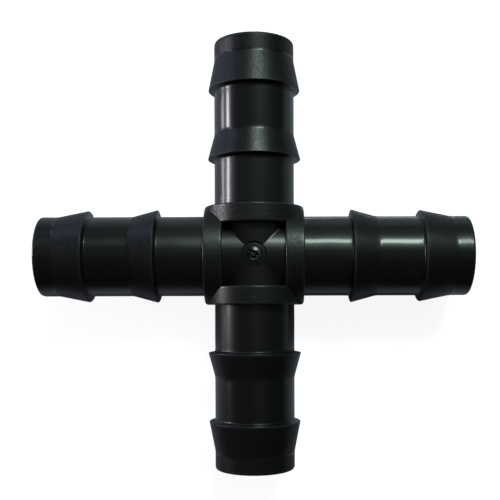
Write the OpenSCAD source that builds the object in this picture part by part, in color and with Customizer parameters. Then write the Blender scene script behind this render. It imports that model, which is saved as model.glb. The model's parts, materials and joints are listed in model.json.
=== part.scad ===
// Four-way barbed hose cross, an injection moulding in black plastic.
// The cross lies flat: its arms run along +X, +Y, -X and -Y, and +Z is square to
// all four of them. The origin is where the axes of the arms meet.
// The moulding is cut at its own feature lines: crossed tubes, collars, spigots and gate stub.

/* [Tube] */
// Outside diameter of the plain tube, which the bore of the hose fits
tube_od = 17; // [14:0.1:22]
// Thickness of the tube's wall, which sets the waterway
tube_wall = 2; // [1.2:0.1:3]

/* [Hub] */
// How far a collar stands above the tube that it is on
collar_rise = 2.1; // [1.6:0.05:3]
// Width of a collar along its arm
collar_width = 3.9; // [2:0.05:5]
// From the side of the crossing tube to the outer face of a collar
collar_stand = 1.95; // [1:0.05:3]
// Radius on both rims of a collar
collar_edge = 0.3; // [0.1:0.05:0.6]
// Radius on the four upright corners of the hub
hub_corner = 0.6; // [0.2:0.1:1.2]

/* [Spigots] */
// From the centre of the cross to the end of an arm
arm_reach = 45.7; // [38:0.1:60]
// Height of the barb near the hub above the tube
inner_barb_rise = 1.45; // [0.7:0.05:2]
// Length of the cone of the barb near the hub
inner_barb_length = 5.3; // [3.5:0.1:8]
// Length of plain tube between the two barbs
land_length = 9.45; // [5:0.05:13]
// Height of the barb near the end above the tube
outer_barb_rise = 1.3; // [0.7:0.05:2]
// Length of the cone of the barb near the end
outer_barb_length = 6.45; // [4:0.05:9]
// Length of plain tube beyond the last barb
nose_length = 3.8; // [2:0.1:6]

/* [Edges] */
// How far the step of a barb leans out between its foot and its edge
step_lean = 0.3; // [0:0.05:0.6]
// Radius on the gripping edge of a barb
barb_edge = 0.15; // [0.05:0.05:0.3]
// Radius in the corner under a barb's step
step_root = 0.3; // [0.1:0.05:0.5]
// Radius where the cone of a barb runs out into the tube
toe_blend = 3; // [1:0.5:6]
// Radius on the outside of the arm's end
nose_edge = 0.5; // [0.2:0.05:0.9]
// Chamfer at the mouth of the waterway
mouth_chamfer = 0.4; // [0.1:0.05:0.8]

/* [Gate] */
// Diameter of the round well that keeps the gate below the hose line
gate_well_d = 5.3; // [4:0.1:7]
// Depth of that well below the crown of the tubes
gate_well_depth = 0.45; // [0.2:0.05:0.8]
// Diameter of the foot of the gate stub
gate_foot_d = 3.8; // [3:0.1:3.9]
// Diameter of the break at the top of the gate stub
gate_break_d = 2.1; // [1.4:0.1:2.8]
// Height of the gate stub above the floor of the well
gate_height = 0.36; // [0.2:0.02:0.44]

/* [Hidden] */
$fn = 96;

// Directions of the arms, as turns about Z
east = 0;
north = 90;
west = 180;
south = 270;

// Radii about the axis of an arm
tube_r = tube_od / 2;
bore_r = tube_r - tube_wall;
collar_r = tube_r + collar_rise;
inner_barb_r = tube_r + inner_barb_rise;
outer_barb_r = tube_r + outer_barb_rise;

// Stations along an arm, out from the centre of the cross
hub_half = tube_r + collar_stand;
window_half = hub_half - collar_width;
outer_toe = arm_reach - nose_length;
outer_step = outer_toe - outer_barb_length;
inner_toe = outer_step - land_length;
inner_step = inner_toe - inner_barb_length;

// Floor of the gate well, and a height that clears everything in a cut
well_floor = tube_r - gate_well_depth;
clear_height = 2 * collar_r + 2;

// Turn of one chord in a rounded corner of an outline, in degrees
chord_turn = 15;

moulding_colour = [0.10, 0.115, 0.11];
gate_colour = [0.16, 0.175, 0.17];

// Points of an outline given as corners of [x, y, radius], with every radius put in
function rounded(corners) =
    let (n = len(corners))
    [for (i = [0 : n - 1]) each corner_arc(corners[(i + n - 1) % n], corners[i], corners[(i + 1) % n])];

function flat(corner) = [corner[0], corner[1]];

function unit(v) = v / norm(v);

function corner_arc(before, here, after) =
    here[2] == 0 ? [flat(here)] :
    let (
        back = unit(flat(before) - flat(here)),
        ahead = unit(flat(after) - flat(here)),
        half_angle = acos(back * ahead) / 2,
        centre = flat(here) + unit(back + ahead) * here[2] / sin(half_angle),
        tangent = here[2] / tan(half_angle),
        first = flat(here) + back * tangent - centre,
        last = flat(here) + ahead * tangent - centre,
        turn = (180 - 2 * half_angle) * sign(cross(first, last)),
        start = atan2(first[1], first[0]),
        chords = max(2, ceil(abs(turn) / chord_turn))
    )
    [for (i = [0 : chords]) centre + here[2] * [cos(start + turn * i / chords), sin(start + turn * i / chords)]];

// Revolve an outline of [radius, station] about the axis of the arm that points along angle
module turned(angle, outline) {
    rotate([0, 0, angle])
        rotate([0, 90, 0])
            rotate_extrude()
                polygon(outline);
}

// The quarter of the hub that belongs to one arm, between two mitre planes at 45 degrees
module quarter(angle) {
    inset = hub_half - hub_corner;
    rotate([0, 0, angle])
        linear_extrude(height = clear_height, center = true)
            polygon(concat(
                [[0, 0]],
                [for (a = [-45 : chord_turn : 0]) [inset, -inset] + hub_corner * [cos(a), sin(a)]],
                [for (a = [0 : chord_turn : 45]) [inset, inset] + hub_corner * [cos(a), sin(a)]]
            ));
}

// Plain tube of one arm inside the hub, mitred against its neighbours
module crossing_quarter(angle) {
    intersection() {
        quarter(angle);
        turned(angle, [[bore_r, 0], [tube_r, 0], [tube_r, hub_half], [bore_r, hub_half]]);
    }
}

// Crossed tubes in the middle, with the round well of the gate in their crown
module hub() {
    color(moulding_colour)
        difference() {
            union() {
                crossing_quarter(east);
                crossing_quarter(north);
                crossing_quarter(west);
                crossing_quarter(south);
            }
            translate([0, 0, well_floor])
                cylinder(d = gate_well_d, h = clear_height);
        }
}

// Collar that stops the hose, a ring on the tube whose ends are mitred into the next collars
module collar(angle) {
    color(moulding_colour)
        intersection() {
            quarter(angle);
            turned(angle, rounded([
                [tube_r, window_half, 0],
                [collar_r, window_half, collar_edge],
                [collar_r, hub_half, collar_edge],
                [tube_r, hub_half, 0]
            ]));
        }
}

// Spigot: neck, inner barb, land, outer barb and nose, turned in one with the waterway
module spigot(angle) {
    color(moulding_colour)
        turned(angle, rounded([
            [bore_r, hub_half, 0],
            [tube_r, hub_half, 0],
            [tube_r, inner_step - step_lean, step_root],
            [inner_barb_r, inner_step, barb_edge],
            [tube_r, inner_toe, toe_blend],
            [tube_r, outer_step - step_lean, step_root],
            [outer_barb_r, outer_step, barb_edge],
            [tube_r, outer_toe, toe_blend],
            [tube_r, arm_reach, nose_edge],
            [bore_r + mouth_chamfer, arm_reach, 0],
            [bore_r, arm_reach - mouth_chamfer, 0]
        ]));
}

// Stub of the runner, left where it broke away in the gate well
module gate_stub() {
    color(gate_colour)
        translate([0, 0, well_floor])
            cylinder(d1 = gate_foot_d, d2 = gate_break_d, h = gate_height);
}

hub();
collar(east);  // collar_east
collar(north);  // collar_north
collar(west);  // collar_west
collar(south);  // collar_south
spigot(east);  // spigot_east
spigot(north);  // spigot_north
spigot(west);  // spigot_west
spigot(south);  // spigot_south
gate_stub();
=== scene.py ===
# %% [markdown]
# # A four-way hose cross, dressed for the camera
# The part is a black plastic moulding that joins four hoses. Its sizes were settled in CAD, and here it
# gets its looks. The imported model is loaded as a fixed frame, and every piece below is modelled in metres
# in that same frame, so a piece goes where the CAD says. Modelling each piece at the origin and moving it
# into place would work too, but every move is a chance to get a size wrong.

# %% Load the frame
import itertools
import json
import math

import bmesh
import bpy
import numpy as np
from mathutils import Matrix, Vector, noise


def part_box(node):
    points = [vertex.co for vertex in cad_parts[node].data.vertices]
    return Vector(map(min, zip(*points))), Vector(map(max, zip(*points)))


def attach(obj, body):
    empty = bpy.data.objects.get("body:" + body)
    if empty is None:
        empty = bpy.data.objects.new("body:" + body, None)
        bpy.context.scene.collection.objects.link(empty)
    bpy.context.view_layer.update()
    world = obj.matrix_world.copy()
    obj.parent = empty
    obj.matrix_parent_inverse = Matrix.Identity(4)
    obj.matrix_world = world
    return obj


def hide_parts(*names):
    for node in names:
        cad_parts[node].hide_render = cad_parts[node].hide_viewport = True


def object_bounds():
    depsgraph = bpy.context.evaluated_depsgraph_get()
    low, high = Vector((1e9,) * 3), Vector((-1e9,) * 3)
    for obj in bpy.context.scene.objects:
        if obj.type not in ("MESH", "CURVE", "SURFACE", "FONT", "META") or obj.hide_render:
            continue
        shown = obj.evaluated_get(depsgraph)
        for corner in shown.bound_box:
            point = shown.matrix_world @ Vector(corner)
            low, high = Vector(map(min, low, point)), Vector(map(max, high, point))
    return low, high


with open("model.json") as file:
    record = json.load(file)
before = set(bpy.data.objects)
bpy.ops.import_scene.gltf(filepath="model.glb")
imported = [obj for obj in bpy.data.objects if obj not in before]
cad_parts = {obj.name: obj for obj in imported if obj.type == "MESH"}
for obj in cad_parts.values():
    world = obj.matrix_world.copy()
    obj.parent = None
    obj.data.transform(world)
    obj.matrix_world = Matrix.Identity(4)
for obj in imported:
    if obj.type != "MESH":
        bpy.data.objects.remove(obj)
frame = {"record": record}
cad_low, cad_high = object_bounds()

MM = 0.001
print("CAD box in mm:", [round(side / MM, 2) for side in cad_high - cad_low])

# %% [markdown]
# ## Camera
# The photograph looks straight down on the cross. The camera wasn't over the middle: the step faces of the
# barbs show more on one side, which puts it a little right of and below the crossing. Turning the camera
# towards the middle would frame the cross as well, but then the arms would taper. So the camera stays level
# and the picture is framed with lens shift, as a view camera does.

# %% Camera
PHOTO_PIXELS = 500
FOCAL_PIXELS = 781
PIXEL_BELOW_CAMERA = (267.2, 308.1)
CAMERA_PLACE = (2.7 * MM, -11.2 * MM, 168.6 * MM)
CAMERA_ROLL = math.radians(-0.2)
SENSOR_WIDTH = 36
NEAREST_SEEN = 10 * MM

scene = bpy.context.scene
scene.view_settings.view_transform = "Standard"
lens = bpy.data.cameras.new("photo_camera")
lens.sensor_width = SENSOR_WIDTH
lens.lens = FOCAL_PIXELS / PHOTO_PIXELS * SENSOR_WIDTH
lens.shift_x = 0.5 - PIXEL_BELOW_CAMERA[0] / PHOTO_PIXELS
lens.shift_y = PIXEL_BELOW_CAMERA[1] / PHOTO_PIXELS - 0.5
lens.clip_start = NEAREST_SEEN
camera = bpy.data.objects.new("photo_camera", lens)
camera.location = CAMERA_PLACE
camera.rotation_euler.z = CAMERA_ROLL
scene.collection.objects.link(camera)
scene.camera = camera
print("lens", round(lens.lens, 1), "mm, shift", round(lens.shift_x, 3), round(lens.shift_y, 3))

# %% [markdown]
# ## Node helpers
# Every finish below is a small tree of shader nodes. Such a tree can be drawn by hand in the shader editor,
# but a script shows every number and makes the same tree each time. One helper adds a node, sets its fields
# and sockets, and links a socket when it is given another node's output, so a tree reads from top to bottom.


# %% Node helpers
def add_node(tree, kind, fields=None, **sockets):
    """Add one node. A socket is named by its label, or by _ and its number, and is linked or set."""
    made = tree.nodes.new(kind)
    for field, value in (fields or {}).items():
        setattr(made, field, value)
    for label, value in sockets.items():
        by_number = label[1:].isdigit()
        socket = made.inputs[int(label[1:]) if by_number else label.replace("_", " ")]
        if isinstance(value, bpy.types.NodeSocket):
            tree.links.new(value, socket)
        else:
            socket.default_value = value
    return made


def add_math(tree, operation, first, second=0.0, third=0.0):
    """The output of one Math node."""
    made = add_node(tree, "ShaderNodeMath", {"operation": operation}, _0=first, _1=second, _2=third)
    return made.outputs[0]


def add_range(tree, value, low, high, from_low=0.0, from_high=1.0, clamp=True):
    """The output of one Map Range node, which is low where value is from_low."""
    limits = {"_1": from_low, "_2": from_high, "_3": low, "_4": high}
    return add_node(tree, "ShaderNodeMapRange", {"clamp": clamp}, _0=value, **limits).outputs[0]


def add_blend(tree, share, first, second, how="MIX"):
    """The colour output of one Mix node."""
    fields = {"data_type": "RGBA", "blend_type": how}
    return add_node(tree, "ShaderNodeMix", fields, _0=share, _6=first, _7=second).outputs[2]


def new_material(name):
    """An empty node material, its tree and its output node."""
    material = bpy.data.materials.new(name)
    material.use_nodes = True
    material.node_tree.nodes.clear()
    output = material.node_tree.nodes.new("ShaderNodeOutputMaterial")
    return material, material.node_tree, output


print("node helpers:", [helper.__name__ for helper in (add_node, add_math, add_range, add_blend)])

# %% [markdown]
# ## Floor
# The cross lies on a sheet of smooth card, as low as the collars reach. It is one large plane: a curved
# backdrop would hide the horizon in a level view, but the camera looks down and never sees one.

# %% Floor
FLOOR_HALF = 3.0

floor_height = cad_low.z
card_edges = (-FLOOR_HALF, FLOOR_HALF)
card_corners = [(x, y, floor_height) for y in card_edges for x in card_edges]
floor_mesh = bpy.data.meshes.new("white_card")
floor_mesh.from_pydata(card_corners, [], [(0, 1, 3, 2)])
floor = bpy.data.objects.new("white_card", floor_mesh)
scene.collection.objects.link(floor)
print("floor at", round(floor_height / MM, 2), "mm")

# %% [markdown]
# In a dim room white card renders grey, and more lamps would wash out the black plastic. So the lamps light
# the card, which keeps the soft shadow of the cross, and the card also glows for rays that come from the
# camera. Gloss sees almost nothing of that glow: it mirrors the lit card, which is pale round the cross and
# darker on the near side. That darker card colour is painted shade, standing in for a shadow on the near
# side, because the near flanks of the side arms are black in the photograph. Where the painted shade lies,
# the card glows a little more, so that it still looks white. It is polished enough to mirror a low lamp up
# into the flanks of the plastic.

# %% Card finish
CARD_WHITE = (0.72, 0.67, 0.83, 1)
# The second card colour is painted shade: the card darkens towards the near side, over the span of Y given
# next, in place of a shadow there.
CARD_PAINTED_SHADE = (0.1, 0.1, 0.12, 1)
CARD_TURNS_DARK = (-22 * MM, -90 * MM)
CARD_ROUGHNESS = 0.07
CARD_GLOW = 0.9
CARD_GLOW_NEAR = 0.1
CARD_GLOW_IN_GLOSS = 0.01
PURE_WHITE = (1, 1, 1, 1)


def seen_share(tree, share_in_gloss):
    """1 for camera and transmission rays, share_in_gloss for glossy rays and 0 for the light that falls."""
    rays = add_node(tree, "ShaderNodeLightPath").outputs
    direct = add_math(tree, "MAXIMUM", rays["Is Camera Ray"], rays["Is Transmission Ray"])
    in_gloss = add_math(tree, "MULTIPLY", rays["Is Glossy Ray"], share_in_gloss)
    return add_math(tree, "MAXIMUM", direct, in_gloss)


card, tree, output = new_material("white_card")
card_place = add_node(tree, "ShaderNodeTexCoord").outputs["Object"]
card_axes = add_node(tree, "ShaderNodeSeparateXYZ", Vector=card_place)
# Painted shade: how far the card has turned to its dark near colour.
painted_shade_share = add_range(tree, card_axes.outputs["Y"], 0.0, 1.0, *CARD_TURNS_DARK)
near_lift = add_math(tree, "MULTIPLY", painted_shade_share, painted_shade_share)
glow_level = add_math(tree, "MULTIPLY_ADD", near_lift, CARD_GLOW_NEAR, CARD_GLOW)
glow = add_math(tree, "MULTIPLY", seen_share(tree, CARD_GLOW_IN_GLOSS / CARD_GLOW), glow_level)
# The card's colour, with painted shade on its near side.
card_tone_with_painted_shade = add_blend(tree, painted_shade_share, CARD_WHITE, CARD_PAINTED_SHADE)
card_shader = add_node(tree, "ShaderNodeBsdfPrincipled", Base_Color=card_tone_with_painted_shade, Roughness=CARD_ROUGHNESS,
                       Emission_Color=PURE_WHITE, Emission_Strength=glow)
tree.links.new(card_shader.outputs[0], output.inputs["Surface"])
floor_mesh.materials.append(card)
print(card.name, "has", len(tree.nodes), "nodes")

# %% [markdown]
# ## Light
# Black plastic shows its shape by what it mirrors, and the highlights in the photograph give the lamps away.
# A window beyond the top edge of the picture draws a white line along the two side arms. A low strip on the
# left draws the stripes on the upright arms, a bluish far window tints the left-hand cones, and a pale wall
# lifts the right-hand ones. A ready-made studio image would light the cross as well, but rectangles of known
# angle and size put each highlight where it belongs. The radiance is set, and the power follows from it.


# %% Lamps
def soft_lamp(name, azimuth, elevation, width, height, radiance, colour, distance=0.8):
    """A rectangle of light facing the crossing. Azimuth turns from +Y towards +X, all angles in degrees."""
    turn = math.radians(azimuth)
    lift = math.radians(elevation)
    toward = Vector((math.sin(turn) * math.cos(lift), math.cos(turn) * math.cos(lift), math.sin(lift)))
    lamp = bpy.data.lights.new(name, "AREA")
    lamp.shape = "RECTANGLE"
    lamp.size = 2 * distance * math.tan(math.radians(width) / 2)
    lamp.size_y = 2 * distance * math.tan(math.radians(height) / 2)
    lamp.energy = radiance * math.pi * lamp.size * lamp.size_y
    lamp.color = colour
    holder = bpy.data.objects.new(name, lamp)
    holder.location = toward * distance
    holder.rotation_mode = "QUATERNION"
    holder.rotation_quaternion = toward.to_track_quat("Z", "Y")
    scene.collection.objects.link(holder)
    print(name, "is", round(lamp.size, 2), "by", round(lamp.size_y, 2), "m at", round(lamp.energy, 2), "W")


soft_lamp("window", azimuth=17, elevation=50, width=23, height=10,
          radiance=15.8, colour=(0.79, 1.0, 0.88))
soft_lamp("side_strip", azimuth=-81, elevation=10, width=17.5, height=9,
          radiance=19, colour=(0.97, 0.95, 1.0))
soft_lamp("far_window", azimuth=-46, elevation=14, width=44, height=16,
          radiance=1.4, colour=(0.47, 0.58, 1.0))
soft_lamp("pale_wall", azimuth=42, elevation=38, width=22, height=20,
          radiance=0.33, colour=(0.80, 1.0, 0.93))

# %% [markdown]
# ## Room
# The room itself is a world shader, because walls modelled as planes would show in other views. One colour
# ramp runs from the dim wall on the near side, over a pale ceiling and the glow above the window, to the
# bright wall below it. A second ramp runs from the horizon to the ceiling, and a third dims the right side.

# %% Room tones
WALL_TO_WALL = [(0.0, (0.045, 0.042, 0.052)), (0.44, (0.045, 0.043, 0.05)), (0.5, (0.125, 0.132, 0.138)),
                (0.6, (0.06, 0.076, 0.073)), (0.67, (0.09, 0.13, 0.115)), (0.74, (0.32, 0.43, 0.38)),
                (0.8, (0.12, 0.18, 0.155)), (0.88, (0.15, 0.23, 0.20)), (0.94, (0.28, 0.40, 0.345))]
HORIZON_TO_CEILING = [(0.0, (0.35, 0.35, 0.35)), (0.5, (0.62, 0.62, 0.62)), (1.0, (1, 1, 1))]
LEFT_TO_RIGHT = [(0.25, (1, 1, 1)), (0.75, (0.5, 0.48, 0.5))]


def colour_ramp(tree, factor, stops):
    """The colour output of a Color Ramp with the given stops of (position, colour)."""
    ramp = add_node(tree, "ShaderNodeValToRGB", Fac=factor)
    marks = ramp.color_ramp.elements
    while len(marks) < len(stops):
        marks.new(0.5)
    for mark, (position, colour) in zip(marks, stops):
        mark.position = position
        mark.color = (*colour, 1)
    return ramp.outputs["Color"]


print("the wall has", len(WALL_TO_WALL), "tones")

# %% [markdown]
# The product of the three ramps is what the plastic mirrors. Rays that come from the camera see plain white
# instead, so the background stays white without putting more light on the cross.

# %% Room
ROOM_WHITE_IN_GLOSS = 0.01
WALL_TURN = math.radians(22)
BRIGHT_WALL = (math.sin(WALL_TURN), math.cos(WALL_TURN), 0)

room = bpy.data.worlds.new("dim_room")
room.use_nodes = True
tree = room.node_tree
tree.nodes.clear()
room_output = tree.nodes.new("ShaderNodeOutputWorld")
outward = add_node(tree, "ShaderNodeTexCoord").outputs["Generated"]
direction = add_node(tree, "ShaderNodeSeparateXYZ", Vector=outward)
facing = add_node(tree, "ShaderNodeVectorMath", {"operation": "DOT_PRODUCT"}, _0=outward, _1=BRIGHT_WALL)
toward_window = add_range(tree, facing.outputs["Value"], 0.0, 1.0, from_low=-1.0)
walls = colour_ramp(tree, toward_window, WALL_TO_WALL)
heights = colour_ramp(tree, direction.outputs["Z"], HORIZON_TO_CEILING)
sides = colour_ramp(tree, direction.outputs["X"], LEFT_TO_RIGHT)
dim = add_blend(tree, 1.0, walls, heights, "MULTIPLY")
dim_right = add_blend(tree, 1.0, dim, sides, "MULTIPLY")
lit_room = add_node(tree, "ShaderNodeBackground", Color=dim_right, Strength=1.0)
white_room = add_node(tree, "ShaderNodeBackground", Color=PURE_WHITE, Strength=1.0)
room_mix = add_node(tree, "ShaderNodeMixShader", _0=seen_share(tree, ROOM_WHITE_IN_GLOSS),
                    _1=lit_room.outputs[0], _2=white_room.outputs[0])
tree.links.new(room_mix.outputs[0], room_output.inputs["Surface"])
scene.world = room
print(room.name, "has", len(tree.nodes), "nodes")

# %% [markdown]
# ## Plastic
# The moulding is polyethylene filled with carbon black. Where the mould was polished it is glossy, and where
# the mould was spark eroded it is satin. Two materials with a hard border would be simpler, but on the part
# the finishes fade into each other. So one function makes both, and three numbers painted on the meshes
# steer it: satin says how eroded the mould was there, wear marks the edges that rub in the bag, and haze
# dulls the necks, where the stripes are softer. The shader reads them as attributes.

# %% Painted numbers and noise
NOISE_ROUGHNESS = 0.55


def painted(tree, label):
    """A number that is painted on the mesh under the given label."""
    return add_node(tree, "ShaderNodeAttribute", {"attribute_name": label}).outputs["Fac"]


def add_noise(tree, place, scale, detail):
    """A noise from 0 to 1. Scale is in grains per metre."""
    made = add_node(tree, "ShaderNodeTexNoise", Vector=place, Scale=scale, Detail=detail,
                    Roughness=NOISE_ROUGHNESS)
    return made.outputs["Fac"]


print("painted on the meshes: satin, wear, haze")

# %% [markdown]
# The colour is nearly black with faint clouds, because carbon never mixes in evenly. An even black would
# look like a hole in the picture. An eroded surface is a touch greyer than a polished one, and a rubbed or
# torn edge is whiter, broken up by a fine noise so that it reads as scuffs.

# %% Resin colour
RESIN_DARK = (0.0046, 0.0043, 0.0046, 1)
RESIN_LIGHT = (0.0080, 0.0075, 0.0081, 1)
RESIN_WORN = (0.035, 0.037, 0.038, 1)
RESIN_TORN = (0.13, 0.13, 0.12, 1)
SATIN_GREY = 0.04
CLOUD_SCALE = 260
SCUFF_SCALE = 2600


def resin_colour(tree, place, even_satin, wear, worn):
    """Black with faint clouds, greyed where the mould was eroded and whitened where it is worn."""
    clouds = add_noise(tree, place, CLOUD_SCALE, detail=3)
    scuffs = add_noise(tree, place, SCUFF_SCALE, detail=3)
    scuffed = add_math(tree, "MULTIPLY", wear, scuffs)
    greyed = add_math(tree, "MULTIPLY_ADD", even_satin, SATIN_GREY, scuffed)
    resin = add_blend(tree, clouds, RESIN_DARK, RESIN_LIGHT)
    return add_blend(tree, greyed, resin, worn)


print("resin albedo from", RESIN_DARK[1], "to", RESIN_LIGHT[1])

# %% [markdown]
# The roughness runs from the polished to the eroded value, and past it where a cone is duller still. A plain
# number would do for a polished mould, but a spark leaves blotches, so a noise breaks up the satin. On the
# tubes it would make the stripes look grainy, so only a tenth of it is left there.

# %% Roughness
HAZE_ROUGHNESS = 0.07
MOTTLE_WHERE_POLISHED = 0.1
BLOTCH_SCALE = 1500
BLOTCH_RANGE = (0.4, 0.68)


def mould_roughness(tree, place, satin, even_satin, haze, polished, eroded, mottle):
    """Roughness between the polished and the eroded value, hazed and blotched as the mesh says."""
    finish = add_range(tree, satin, polished, eroded, clamp=False)
    hazy = add_math(tree, "MULTIPLY_ADD", haze, HAZE_ROUGHNESS, finish)
    blotches = add_noise(tree, place, BLOTCH_SCALE, detail=4)
    dull = add_range(tree, blotches, 0.0, mottle, *BLOTCH_RANGE)
    mottled = add_math(tree, "ADD", even_satin, MOTTLE_WHERE_POLISHED)
    return add_math(tree, "MULTIPLY_ADD", dull, mottled, hazy)


print("blotches are about", round(1 / BLOTCH_SCALE / MM, 1), "mm across")

# %% [markdown]
# Two reliefs are less than a twentieth of a millimetre deep: fine lines round the arms, as a turned mould
# leaves them, and the pits of the eroded mould. Modelling them would take millions of faces, so they are
# left to bump. The lines depend on nothing but the station, which is the distance out along an arm. What
# changes the outline is modelled further down.

# %% Relief
LINE_SCALE = 3800
PIT_SCALE = 1900
PITS_WHERE_POLISHED = 0.008


def add_bump(tree, height, depth, strength, **normal):
    """Shade as if the surface rose by depth, in metres, where height is 1."""
    made = add_node(tree, "ShaderNodeBump", Height=height, Distance=depth, Strength=strength, **normal)
    return made.outputs["Normal"]


def mould_relief(tree, place, satin, pit_depth, line_depth):
    """The normal after fine lines round the arms, and pits where the mould was eroded."""
    axes = add_node(tree, "ShaderNodeSeparateXYZ", Vector=place).outputs
    out_x = add_math(tree, "ABSOLUTE", axes["X"])
    out_y = add_math(tree, "ABSOLUTE", axes["Y"])
    station = add_math(tree, "MAXIMUM", out_x, out_y)
    turning = add_node(tree, "ShaderNodeTexNoise", {"noise_dimensions": "1D"}, W=station, Scale=LINE_SCALE,
                       Detail=3)
    lines = add_bump(tree, turning.outputs["Fac"], line_depth, 1.0)
    pits = add_noise(tree, place, PIT_SCALE, detail=5)
    pit_strength = add_range(tree, satin, PITS_WHERE_POLISHED, 1.0)
    return add_bump(tree, pits, pit_depth, pit_strength, Normal=lines)


print("pits are about", round(1 / PIT_SCALE / MM, 1), "mm across")

# %% [markdown]
# A highlight on moulded plastic has a sharp core in a soft halo. One lobe of gloss can't be both, so the
# shader's base gives the halo, and its coat is the smooth skin that gives the core. The skin is there only
# where the mould was polished. Three finishes come from the one function: the tubes, the hub with its
# collars, and the torn gate, whose worn colour is the white of stretched plastic.

# %% Black plastic
RESIN_IOR = 1.49
SKIN_ROUGHNESS = 0.1


def black_plastic(name, polished, eroded, mottle, skin, gloss, pit_depth, line_depth, worn=RESIN_WORN):
    """Black moulded plastic, polished or satin as the mesh says, with a smooth skin where it is polished."""
    material, tree, output = new_material(name)
    place = add_node(tree, "ShaderNodeTexCoord").outputs["Object"]
    satin = painted(tree, "satin")
    even_satin = add_math(tree, "MINIMUM", satin, 1.0)
    colour = resin_colour(tree, place, even_satin, painted(tree, "wear"), worn)
    haze = painted(tree, "haze")
    roughness = mould_roughness(tree, place, satin, even_satin, haze, polished, eroded, mottle)
    relief = mould_relief(tree, place, satin, pit_depth, line_depth)
    skin_share = add_range(tree, satin, skin, 0.0)
    shader = add_node(tree, "ShaderNodeBsdfPrincipled", Base_Color=colour, Roughness=roughness,
                      IOR=RESIN_IOR, Specular_IOR_Level=gloss, Normal=relief, Coat_Weight=skin_share,
                      Coat_Roughness=SKIN_ROUGHNESS, Coat_IOR=RESIN_IOR)
    tree.links.new(shader.outputs[0], output.inputs["Surface"])
    print(name, "has", len(tree.nodes), "nodes")
    return material


tube_finish = black_plastic("polished_tube", polished=0.26, eroded=0.285, mottle=0.08, skin=0.52, gloss=0.45,
                            pit_depth=42e-6, line_depth=0.2e-6)
hub_finish = black_plastic("satin_hub", polished=0.3, eroded=0.36, mottle=0.1, skin=0.12, gloss=0.6,
                           pit_depth=38e-6, line_depth=1e-6)
gate_finish = black_plastic("torn_gate", polished=0.24, eroded=0.4, mottle=0.1, skin=0.15, gloss=0.5,
                            pit_depth=30e-6, line_depth=0, worn=RESIN_TORN)

# %% [markdown]
# ## Sizes
# The sizes that the pieces share come from the frame: the boxes of the CAD nodes, and the bores and pins
# that the record gives as mounts. Typing them in again would be quicker, but then the pieces would stop
# fitting when the CAD changes.

# %% Sizes
mounts = {mount["name"]: mount for mount in frame["record"]["mounts"]}
bore_r = mounts["waterway_x"]["dims"]["r_mm"] * MM
tube_r = mounts["hose_east"]["dims"]["r_mm"] * MM
hub_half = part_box("spigot_east")[0].x
arm_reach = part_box("spigot_east")[1].x
window_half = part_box("collar_east")[0].x
collar_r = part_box("collar_east")[1].z
well_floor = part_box("gate_stub")[0].z
stub_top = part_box("gate_stub")[1].z
stub_foot_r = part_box("gate_stub")[1].x
print("radii in mm:", [round(radius / MM, 2) for radius in (bore_r, tube_r, collar_r)])

# %% [markdown]
# ## Outlines
# Almost everything on the cross is round about an arm, as if it were cut on a lathe. So the basic tool is an
# outline of stations and radii that is turned about an arm. A curve object could draw it, but a
# list of corners, each with its own fillet, is what a drawing gives, and it keeps every radius true. A
# corner also says how worn it is. The sides are split, so that a painted number stays near its edge.

# %% Outline helpers
FILLET_CHORD = math.radians(9)
SPLIT_OUTSIDE = 0.5 * MM
SPLIT_INSIDE = 3 * MM
INSIDE_BY = 0.1 * MM


def fillet_points(before, here, after, fillet):
    """Points along the arc that rounds one corner of an outline."""
    back = (before - here).normalized()
    ahead = (after - here).normalized()
    half = back.angle(ahead) / 2
    centre = here + (back + ahead).normalized() * (fillet / math.sin(half))
    first = here + back * (fillet / math.tan(half)) - centre
    last = here + ahead * (fillet / math.tan(half)) - centre
    sweep = math.pi - 2 * half
    chords = max(2, math.ceil(sweep / FILLET_CHORD))
    arc = []
    for chord in range(chords + 1):
        done = sweep * chord / chords
        arc.append(centre + (first * math.sin(sweep - done) + last * math.sin(done)) / math.sin(sweep))
    return arc


def rounded_outline(corners):
    """Closed outline as rows of (station, radius, wear), from corners of (station, radius, fillet, wear)."""
    places = [Vector(corner[:2]) for corner in corners]
    points = []
    for i, (station, radius, fillet, wear) in enumerate(corners):
        arc = [(station, radius)]
        if fillet:
            arc = fillet_points(places[i - 1], places[i], places[(i + 1) % len(places)], fillet)
        points.extend((x, y, wear) for x, y in arc)
    return split_sides(points)


def split_sides(points):
    """Add points along the sides that are longer than the split, finer on the outside than in the bore."""
    outline = []
    for (station, radius, wear), after in zip(points, points[1:] + points[:1]):
        outline.append((station, radius, wear))
        side = math.hypot(after[0] - station, after[1] - radius)
        inside = max(radius, after[1]) < tube_r - INSIDE_BY
        parts = math.ceil(side / (SPLIT_INSIDE if inside else SPLIT_OUTSIDE))
        for part in range(1, parts):
            share = part / parts
            outline.append((station + share * (after[0] - station), radius + share * (after[1] - radius), 0))
    return np.array(outline)


print("a fillet has a chord for every", round(math.degrees(FILLET_CHORD)), "degrees")

# %% [markdown]
# ## Turned pieces
# The arms point four ways, so each has an axis, and the direction across it that lies level with the floor.
# A Screw modifier could turn an outline, but a grid of points lets each point move by itself later, for
# shrinkage and nicks. There is one ring of points for each point of the outline, and because the outline is
# a closed loop, the grid closes both ways and the mesh is watertight.

# %% Turning helpers
ARM_AXES = {"east": (1, 0, 0), "north": (0, 1, 0), "west": (-1, 0, 0), "south": (0, -1, 0)}
UP = np.array((0, 0, 1.0))


def arm_directions(arm):
    """Unit vectors along an arm and across it."""
    along = np.array(ARM_AXES[arm], float)
    return along, np.cross(UP, along)


def turned_points(arm, stations, radii, angles):
    """Points about an arm's axis. Radii is one number per station and angle, and angle 0 is straight up."""
    along, across = arm_directions(arm)
    spokes = np.sin(angles)[None, :, None] * across + np.cos(angles)[None, :, None] * UP
    return (stations[:, None, None] * along + radii[..., None] * spokes).reshape(-1, 3)


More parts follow.
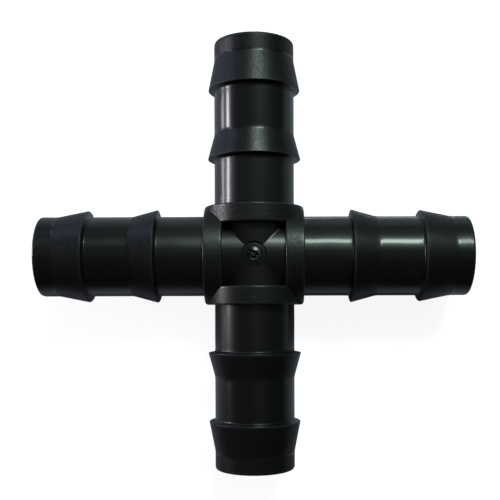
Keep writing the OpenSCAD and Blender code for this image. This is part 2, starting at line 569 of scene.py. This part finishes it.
def ring_faces(rows, columns):
    """Quads of a grid that closes on itself both ways."""
    row, column = np.meshgrid(np.arange(rows), np.arange(columns), indexing="ij")
    next_row = (row + 1) % rows
    next_column = (column + 1) % columns
    corners = [row * columns + column, next_row * columns + column, next_row * columns + next_column,
               row * columns + next_column]
    return np.stack(corners, axis=-1).reshape(-1, 4).tolist()


def even_turn(steps):
    """Angles of a full turn in even steps."""
    return np.arange(steps) * 2 * math.pi / steps


print("arms:", list(ARM_AXES))

# %% [markdown]
# A piece is handed in the same way each time. Its mesh is welded and cleaned, because an exact cut can leave
# slivers that shade badly, and its faces are turned outward. Flat shading would show every facet, so it is
# shaded smooth except over edges that are really sharp. Then it rides on the one body there is, hides the
# CAD node that it stands for, and takes its finish.

# %% Piece helpers
SHARP_ANGLE = 32
FINE_WELD = 0.0005 * MM


def new_piece(name, points, faces):
    """A mesh object in the scene, from points in metres and faces that list their points."""
    mesh = bpy.data.meshes.new(name)
    mesh.from_pydata(points.tolist(), [], faces)
    piece = bpy.data.objects.new(name, mesh)
    scene.collection.objects.link(piece)
    return piece


def paint(piece, label, values):
    """Store one number per point, which a material reads by its label."""
    layer = piece.data.attributes.new(label, "FLOAT", "POINT")
    layer.data.foreach_set("value", np.asarray(values, np.float32))


def clean_mesh(piece, weld):
    """Weld points, drop slivers and turn the faces outward. Returns the open edges and the volume in mm3."""
    work = bmesh.new()
    work.from_mesh(piece.data)
    bmesh.ops.remove_doubles(work, verts=work.verts, dist=weld)
    bmesh.ops.dissolve_degenerate(work, edges=work.edges, dist=weld)
    bmesh.ops.recalc_face_normals(work, faces=work.faces)
    open_edges = sum(not edge.is_manifold for edge in work.edges)
    volume = work.calc_volume() / MM ** 3
    work.to_mesh(piece.data)
    work.free()
    return open_edges, volume


def hand_in(piece, node, finish, sharp_angle=SHARP_ANGLE, weld=FINE_WELD):
    """Clean and shade a piece, give it its finish and let it stand for a CAD node."""
    open_edges, volume = clean_mesh(piece, weld)
    piece.data.shade_smooth()
    piece.data.set_sharp_from_angle(angle=math.radians(sharp_angle))
    piece.data.materials.clear()
    piece.data.materials.append(finish)
    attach(piece, "root")
    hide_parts(node)
    print(piece.name, len(piece.data.polygons), "faces", round(volume, 1), "mm3", open_edges, "open edges")


print("points closer than", round(FINE_WELD / MM, 4), "mm are welded")

# %% [markdown]
# ## Spigots
# A spigot is what the hose is pushed over: neck, inner barb, land, outer barb and nose. The barbs slope so
# that the hose slides on, and their leaning steps hold it. It could be stacked from cones and cylinders, but
# the small radii and the long blends would then be missing, and those catch the light. So one outline runs
# round the whole wall, out along the outside and back through the bore.

# %% Spigot outline
NOSE_LENGTH = 3.8 * MM
OUTER_BARB_LENGTH = 6.45 * MM
LAND_LENGTH = 9.45 * MM
INNER_BARB_LENGTH = 5.3 * MM
INNER_BARB_R = tube_r + 1.45 * MM
OUTER_BARB_R = tube_r + 1.3 * MM
STEP_LEAN = 0.3 * MM
STEP_ROOT = 0.3 * MM
BARB_EDGE = 0.15 * MM
TOE_BLEND = 3 * MM
NOSE_EDGE = 0.5 * MM
MOUTH_CHAMFER = 0.4 * MM
MOUTH_EDGE = 0.1 * MM
BARB_WEAR = 1
NOSE_WEAR = 0.4
MOUTH_WEAR = 0.3

outer_toe = arm_reach - NOSE_LENGTH
outer_step = outer_toe - OUTER_BARB_LENGTH
inner_toe = outer_step - LAND_LENGTH
inner_step = inner_toe - INNER_BARB_LENGTH
cones = [(inner_step, inner_toe), (outer_step, outer_toe)]
spigot_outline = rounded_outline([
    (hub_half, bore_r, 0, 0),
    (hub_half, tube_r, 0, 0),
    (inner_step - STEP_LEAN, tube_r, STEP_ROOT, 0),
    (inner_step, INNER_BARB_R, BARB_EDGE, BARB_WEAR),
    (inner_toe, tube_r, TOE_BLEND, 0),
    (outer_step - STEP_LEAN, tube_r, STEP_ROOT, 0),
    (outer_step, OUTER_BARB_R, BARB_EDGE, BARB_WEAR),
    (outer_toe, tube_r, TOE_BLEND, 0),
    (arm_reach, tube_r, NOSE_EDGE, NOSE_WEAR),
    (arm_reach, bore_r + MOUTH_CHAMFER, MOUTH_EDGE, MOUTH_WEAR),
    (arm_reach - MOUTH_CHAMFER, bore_r, MOUTH_EDGE, 0),
])
print("spigot outline has", len(spigot_outline), "points, steps at",
      [round(step / MM, 2) for step, _ in cones], "mm")

# %% [markdown]
# No moulding is true. The two mould halves meet in the plane of the arms, which leaves a fine raised line
# along both sides of each arm. The plastic shrinks a little unevenly, which bends the highlights, and the
# barb edges have nicks. A bump map could hint at all that, but it changes the outline, so it is in the mesh.
# Noise is read in space, so that each arm gets its own, and the rings have extra steps at the seams.

# %% Spigot surface
FLASH_HEIGHT = 0.05 * MM
FLASH_HALF_WIDTH = 0.12 * MM
SHRINK_WAVES = [(0.03 * MM, 9 * MM), (0.014 * MM, 3.6 * MM)]
EDGE_NICKS = 0.03 * MM
NICKS_AROUND = 14
SURFACE_BY = 0.01 * MM
ROUND_STEPS = 180
SEAMS = (math.pi / 2, 3 * math.pi / 2)
SEAM_STEPS = np.radians([-1.4, -0.8, -0.4, 0, 0.4, 0.8, 1.4])
ANGLE_DIGITS = 6

even_angles = even_turn(ROUND_STEPS)
all_angles = np.concatenate([even_angles, *[seam + SEAM_STEPS for seam in SEAMS]])
angles = np.unique(np.round(all_angles, ANGLE_DIGITS))


def noise_on_arm(arm, stations, angles, pitch, radius):
    """Smooth noise from -1 to 1 on the surface of a tube, different on each arm."""
    points = turned_points(arm, stations, np.full((len(stations), len(angles)), radius), angles)
    values = [noise.noise(Vector(point) / pitch) for point in points]
    return np.array(values).reshape(len(stations), len(angles))


def shrink_waves(arm, stations, angles, radius):
    """How far the surface stands off the true tube after the plastic has cooled."""
    waves = [height * noise_on_arm(arm, stations, angles, length, radius) for height, length in SHRINK_WAVES]
    return sum(waves)


def spigot_rings(arm, stations, radii, wear):
    """Radius at each station and angle, with the parting lines, the shrinkage and the nicks."""
    body = (radii > tube_r - SURFACE_BY) & (stations < arm_reach - NOSE_EDGE)
    from_seam = np.min([abs(angles - seam) for seam in SEAMS], axis=0)
    flash = np.clip(1 - radii[:, None] * from_seam[None, :] / FLASH_HALF_WIDTH, 0, 1) * FLASH_HEIGHT
    waves = shrink_waves(arm, stations, angles, tube_r)
    nick_pitch = 2 * math.pi * tube_r / NICKS_AROUND
    nicks = np.clip(noise_on_arm(arm, stations, angles, nick_pitch, tube_r), 0, 1) * EDGE_NICKS
    return radii[:, None] + body[:, None] * (flash + waves) - (body * wear)[:, None] * nicks


print("a ring has", len(angles), "points")

# %% [markdown]
# On a spigot the tubes are glossy and the cones are satin. One number for all cones would be simpler, but in
# the photograph the cones and noses differ from arm to arm, so each arm has its own numbers, one for the
# inner and one for the outer cone. The nose stays polished for a short stretch past the outer cone's toe.

# %% Spigots
CONE_SATIN = {"east": (3.0, 3.5), "north": (1.4, 4.2), "west": (3.0, 3.0), "south": (1.0, 1.0)}
NOSE_SATIN = {"east": 0.5, "north": 4.2, "west": 0.5, "south": 1.0}
STEP_SATIN = 0.6
TOE_POLISH = 0.7 * MM


def spigot_finish(arm, stations, radii, wear):
    """How satin, worn and hazy a spigot is at each station."""
    outside = radii > tube_r - SURFACE_BY
    on_cone = np.any([(stations >= step) & (stations <= toe) for step, toe in cones], axis=0)
    at_step = np.any([abs(stations - step + STEP_LEAN) < STEP_LEAN + STEP_ROOT for step, _ in cones], axis=0)
    on_nose = stations > outer_toe + TOE_POLISH
    inner_satin, outer_satin = CONE_SATIN[arm]
    cone_satin = np.where(stations > outer_step - BARB_EDGE, outer_satin, inner_satin)
    satin = np.max([cone_satin * on_cone, NOSE_SATIN[arm] * on_nose, STEP_SATIN * at_step], axis=0)
    on_neck = stations < inner_step
    return {"satin": np.maximum(outside * satin, wear), "wear": wear, "haze": outside & on_neck}


def spigot(arm):
    """One barbed spigot with its surface and its painted finish."""
    stations, radii, wear = spigot_outline.T
    points = turned_points(arm, stations, spigot_rings(arm, stations, radii, wear), angles)
    piece = new_piece("spigot_" + arm + "_skin", points, ring_faces(len(stations), len(angles)))
    for label, values in spigot_finish(arm, stations, radii, wear).items():
        paint(piece, label, np.repeat(values, len(angles)))
    hand_in(piece, "spigot_" + arm, tube_finish)


for arm in ARM_AXES:
    spigot(arm)

# %% [markdown]
# ## Collars
# Four collars frame the hub and stop the hoses. Each is a short ring on its arm, and where two rings meet
# they are mitred at 45 degrees. Moving the points of a ring onto the mitre planes would bend its rim, so a
# wedge, the shape of the arm's quarter of the hub, keeps what belongs to the arm. A Boolean modifier makes
# that cut exactly, so the mitre lines come out as sharp valleys and the mesh stays closed.


# %% Cutting helpers
def cut_away(piece, cutter, operation):
    """Apply one exact Boolean to a piece, and remove the cutter."""
    modifier = piece.modifiers.new("cut", "BOOLEAN")
    modifier.operation = operation
    modifier.solver = "EXACT"
    modifier.object = cutter
    depsgraph = bpy.context.evaluated_depsgraph_get()
    cut_mesh = bpy.data.meshes.new_from_object(piece.evaluated_get(depsgraph))
    piece.modifiers.clear()
    uncut = piece.data
    piece.data = cut_mesh
    bpy.data.meshes.remove(uncut)
    bpy.data.objects.remove(cutter)


def lofted(name, rings):
    """A closed solid through rings of points, with flat ends."""
    work = bmesh.new()
    made = [[work.verts.new(point) for point in ring] for ring in np.asarray(rings).tolist()]
    for lower, upper in zip(made[:-1], made[1:]):
        for i in range(len(lower)):
            work.faces.new((lower[i - 1], lower[i], upper[i], upper[i - 1]))
    work.faces.new(made[0])
    work.faces.new(made[-1])
    bmesh.ops.recalc_face_normals(work, faces=work.faces)
    mesh = bpy.data.meshes.new(name)
    work.to_mesh(mesh)
    work.free()
    piece = bpy.data.objects.new(name, mesh)
    scene.collection.objects.link(piece)
    return piece


print("cutting helpers:", cut_away.__name__, lofted.__name__)

# %% [markdown]
# The upright corners of the hub, where two collars meet, are slightly rounded. A bevel made afterwards would
# have to run across the mitre from one collar to the next, so the wedge brings the radius along: its outline
# leaves the mitre on a small arc and then runs out past the collar's face.

# %% Quarter wedge
HUB_CORNER = 0.6 * MM
CORNER_STEPS = 6
WEDGE_BEYOND = 1 * MM
MITRE = math.radians(45)

corner_inset = hub_half - HUB_CORNER
corner_turns = [MITRE * (1 - step / CORNER_STEPS) for step in range(CORNER_STEPS)]
left_side = [(corner_inset + HUB_CORNER * math.cos(turn), corner_inset + HUB_CORNER * math.sin(turn))
             for turn in corner_turns]
left_side.append((hub_half + WEDGE_BEYOND, left_side[-1][1]))
right_side = [(x, -y) for x, y in left_side]
wedge_outline = [(0, 0)] + right_side + left_side[::-1]


def quarter_wedge(arm):
    """The upright wedge between two mitre planes that holds an arm's quarter of the hub."""
    along, across = arm_directions(arm)
    plan = np.array([x * along + y * across for x, y in wedge_outline])
    clear_of_collar = 2 * collar_r * UP
    return lofted("wedge", [plan - clear_of_collar, plan + clear_of_collar])


print("wedge outline has", len(wedge_outline), "points")

# %% [markdown]
# The collars are satin, and their rims are rubbed smooth by other fittings in the bag. A mask painted by
# hand would do for one collar, but a distance does all four alike. So wear is painted after the cut, by each
# point's distance to the nearer rim.

# %% Collars
COLLAR_EDGE = 0.3 * MM
COLLAR_WAVES = 0.5
WEAR_REACH = 0.45 * MM
WEAR_CORE = 1.3


def collar_ring(arm):
    """One collar as a whole ring, before its ends are mitred."""
    stations, radii, _ = rounded_outline([
        (window_half, tube_r, 0, 0),
        (window_half, collar_r, COLLAR_EDGE, 0),
        (hub_half, collar_r, COLLAR_EDGE, 0),
        (hub_half, tube_r, 0, 0),
    ]).T
    waves = COLLAR_WAVES * shrink_waves(arm, stations, even_angles, collar_r) - SHRINK_WAVES[0][0]
    rings = radii[:, None] + (radii > tube_r + SURFACE_BY)[:, None] * waves
    points = turned_points(arm, stations, rings, even_angles)
    return new_piece("collar_" + arm + "_skin", points, ring_faces(len(stations), len(even_angles)))


def collar(arm):
    """One collar, mitred into its neighbours, with its rims worn."""
    piece = collar_ring(arm)
    cut_away(piece, quarter_wedge(arm), "INTERSECT")
    places = np.array([vertex.co for vertex in piece.data.vertices])
    out = places @ arm_directions(arm)[0]
    radius = np.sqrt(np.maximum(0, (places ** 2).sum(axis=1) - out ** 2))
    to_rim = [np.hypot(out - rim, radius - collar_r) for rim in (window_half, hub_half)]
    wear = np.clip(WEAR_CORE - np.minimum(*to_rim) / WEAR_REACH, 0, 1)
    paint(piece, "satin", 1 - wear)
    paint(piece, "wear", wear)
    hand_in(piece, "collar_" + arm, hub_finish)


for arm in ARM_AXES:
    collar(arm)

# %% [markdown]
# ## Hub
# Inside the frame of collars the two tubes simply cross. Joining two rods, boring them and sinking a round
# well for the gate gives the crossing with its diagonal valleys, again with exact Booleans. A subdivision
# surface would make coarse tubes smooth, but it would melt the valleys as well. So the rods have a step for
# every degree instead, fine enough for the highlight that lies across them.

# %% Rods
ROD_STEPS = 360


def rod(name, arm, radius, half_length):
    """A plain round bar along an arm's axis, centred on the crossing."""
    ends = np.array([-half_length, half_length])
    points = turned_points(arm, ends, np.full((2, ROD_STEPS), radius), even_turn(ROD_STEPS))
    return lofted(name, points.reshape(2, ROD_STEPS, 3))


hub = rod("hub_skin", "east", tube_r, hub_half)
cut_away(hub, rod("cross_tube", "north", tube_r, hub_half), "UNION")
print("crossed rods have", len(hub.data.polygons), "faces")

# %% [markdown]
# The valley where two tubes cross is a groin, and a moulding has a small radius in it. A Bevel modifier
# works badly on the uneven edges that a cut leaves, so the fillet is built as a ball would leave it: at each
# tilt the ball touches both tubes, and the arc between its two touching points is one rib of the fillet.
# The eight groins, four above and four below, are mirror images of one.

# %% Groin fillets
GROIN_R = 0.9 * MM
GROIN_TILTS = np.radians(np.arange(5, 61, 1.5))
GROIN_ACROSS = 41
GROIN_DIP = 0.003 * MM
GROIN_ROOT = 0.4 * MM


def groin_rib(tilt):
    """Points across one rib of the fillet, and one point below that closes it inside the tubes."""
    lean = math.sin(tilt)
    rise = math.cos(tilt)
    ball = (tube_r + GROIN_R) * np.array((lean, lean, rise))
    off_x_tube = np.array((0, lean, rise))
    off_y_tube = np.array((lean, 0, rise))
    shares = np.linspace(0, 1, GROIN_ACROSS)[:, None]
    normals = (1 - shares) * off_x_tube + shares * off_y_tube
    normals /= np.linalg.norm(normals, axis=1)[:, None]
    arc = ball - GROIN_R * normals
    arc[[0, -1]] -= GROIN_DIP * normals[[0, -1]]
    root = np.array((tube_r * lean, tube_r * lean, tube_r * rise - GROIN_ROOT))
    return np.vstack([arc, root])


ribs = np.array([groin_rib(tilt) for tilt in GROIN_TILTS])
for signs in itertools.product((1, -1), repeat=3):
    cut_away(hub, lofted("groin", ribs * np.array(signs)), "UNION")
print("a groin fillet has", len(ribs), "ribs of", len(ribs[0]), "points")

# %% [markdown]
# The bores and the well come last, so that they cut the fillets too. A flat floor would mirror one tone, so
# the floor of the well falls a little towards its wall, as the light on it in the photograph suggests. The
# cuts leave slivers a few microns wide, so the hub is welded more coarsely than the rest. Its tubes turn by
# one degree per face, so an edge counts as sharp from a small angle on.

# %% Hub
WELL_R = 2.65 * MM
WELL_FALL = 0.11 * MM
WELL_STEPS = 96
HUB_WELD = 0.003 * MM
HUB_SHARP_ANGLE = 2.5

cut_away(hub, rod("bore_x", "east", bore_r, 2 * hub_half), "DIFFERENCE")
cut_away(hub, rod("bore_y", "north", bore_r, 2 * hub_half), "DIFFERENCE")
well_profile = [(stub_foot_r, well_floor), (WELL_R, well_floor - WELL_FALL), (WELL_R, 2 * collar_r)]
well_turn = even_turn(WELL_STEPS)
well_rings = [[(r * math.cos(turn), r * math.sin(turn), z) for turn in well_turn] for r, z in well_profile]
cut_away(hub, lofted("well", well_rings), "DIFFERENCE")
hand_in(hub, "hub", hub_finish, sharp_angle=HUB_SHARP_ANGLE, weld=HUB_WELD)

# %% [markdown]
# ## Gate stub
# The plastic was injected through a pin gate in the middle of the hub. When the runner was pulled off it
# tore, and left a low bell with two cracks in its top and a whitened lip. Sculpting would be the quick way
# by hand, but a height for every place on a disc gives the same tear each time, and it can't fold over
# itself. The lip and the cracks are short paths, placed about where the photograph shows them.

# %% Paths of the tear
TORN_LIP = np.array([(-0.58, -1.2), (0.1, -1.28), (0.72, -1.1),
                     (1.1, -0.72), (1.2, -0.2), (1.12, 0.25)]) * MM
LONG_CRACK = np.array([(-0.75, 0.62), (-0.1, 0.52), (0.32, 0.22), (0.74, -0.22)]) * MM
SHORT_CRACK = np.array([(-0.46, -0.58), (-0.1, -0.7), (0.3, -0.6)]) * MM


def from_path(places, path):
    """Distance of each place to the nearest point of a path of straight pieces."""
    nearest = np.full(len(places), np.inf)
    for start, end in zip(path[:-1], path[1:]):
        share = np.clip((places - start) @ (end - start) / ((end - start) @ (end - start)), 0, 1)
        gap = np.linalg.norm(places - start - share[:, None] * (end - start), axis=1)
        nearest = np.minimum(nearest, gap)
    return nearest


print("the lip ends", round(from_path(TORN_LIP[-1:], LONG_CRACK)[0] / MM, 2), "mm from the long crack")

# %% [markdown]
# The height starts as a smooth bell. Inside a torn disc it drops and gets rough, along the lip it rises, and
# along the cracks it falls away. Even strips would look drawn, so a noise frays the width of the lip and the
# cracks. The same shares say where stretched plastic has turned white, and where the tear is dull.

# %% Heights of the tear
STUB_HEIGHT = stub_top - well_floor
BREAK_R = 0.15 * MM
TORN_CENTRE = np.array((0.05, -0.3)) * MM
TORN_R = 0.95 * MM
TORN_SOFT = 0.15 * MM
TORN_DEPTH = 0.1 * MM
TORN_WHITE = 0.25
LIP_WIDTH = 0.28 * MM
LIP_HEIGHT = 0.14 * MM
CRACK_WIDTH = 0.18 * MM
CRACK_DEPTH = 0.34 * MM
CRACK_CORE = 1.3
TEAR_PITCH = 0.4 * MM
TEAR_HEIGHT = 0.07 * MM
TEAR_FALLOFF = 1.0
TEAR_FINER = 2.0
TEAR_OCTAVES = 3
RAGGED_PITCH = 0.3 * MM
RAGGED = 0.7


def tear_noise(place):
    """Rough heights of torn plastic, summed from finer and finer noises."""
    return noise.fractal(Vector((*place, 0)) / TEAR_PITCH, TEAR_FALLOFF, TEAR_FINER, TEAR_OCTAVES)


def stub_surface(places):
    """Height over the floor of the well, and how white and how satin the tear is, at each place."""
    out = np.clip((np.linalg.norm(places, axis=1) - BREAK_R) / (stub_foot_r - BREAK_R), 0, 1)
    bell = STUB_HEIGHT * (1 + np.cos(math.pi * out)) / 2
    torn = np.clip((TORN_R - np.linalg.norm(places - TORN_CENTRE, axis=1)) / TORN_SOFT, 0, 1)
    tears = np.array([tear_noise(place) for place in places])
    ragged = np.array([noise.noise(Vector((*place, RAGGED_PITCH)) / RAGGED_PITCH) for place in places])
    lip = np.clip(1 - from_path(places, TORN_LIP) / (LIP_WIDTH * (1 + RAGGED * ragged)), 0, 1)
    to_crack = np.minimum(from_path(places, LONG_CRACK), from_path(places, SHORT_CRACK))
    crack = np.clip(CRACK_CORE - to_crack / (CRACK_WIDTH * (1 - RAGGED * ragged)), 0, 1)
    heights = bell + torn * (TEAR_HEIGHT * tears - TORN_DEPTH) + LIP_HEIGHT * lip - CRACK_DEPTH * crack
    white = np.clip(TORN_WHITE * torn + lip - crack, 0, 1)
    return np.clip(heights, 0, STUB_HEIGHT), white, np.clip(torn + crack - lip, 0, 1)


print("the stub is", round(STUB_HEIGHT / MM, 2), "mm high")

# %% [markdown]
# A square grid would leave a ragged edge round the foot of the stub. So the disc is a fan of triangles in
# the middle with rings of quads round it, and one flat face below closes it on the floor of the well.

# %% Gate stub
STUB_RINGS = 48
STUB_STEPS = 144

ring_r = np.linspace(0, stub_foot_r, STUB_RINGS + 1)[1:]
around = even_turn(STUB_STEPS)
rings = ring_r[:, None, None] * np.stack([np.cos(around), np.sin(around)], axis=-1)[None]
places = np.vstack([[(0, 0)], rings.reshape(-1, 2)])
heights, white, satin = stub_surface(places)

stub_faces = [(0, 1 + i, 1 + (i + 1) % STUB_STEPS) for i in range(STUB_STEPS)]
for ring in range(STUB_RINGS - 1):
    inner = 1 + ring * STUB_STEPS
    outer = inner + STUB_STEPS
    for i in range(STUB_STEPS):
        after = (i + 1) % STUB_STEPS
        stub_faces.append((inner + i, outer + i, outer + after, inner + after))
stub_faces.append(tuple(1 + (STUB_RINGS - 1) * STUB_STEPS + i for i in range(STUB_STEPS)))
stub = new_piece("gate_stub_skin", np.column_stack([places, well_floor + heights]), stub_faces)
paint(stub, "wear", white)
paint(stub, "satin", satin)
hand_in(stub, "gate_stub", gate_finish)
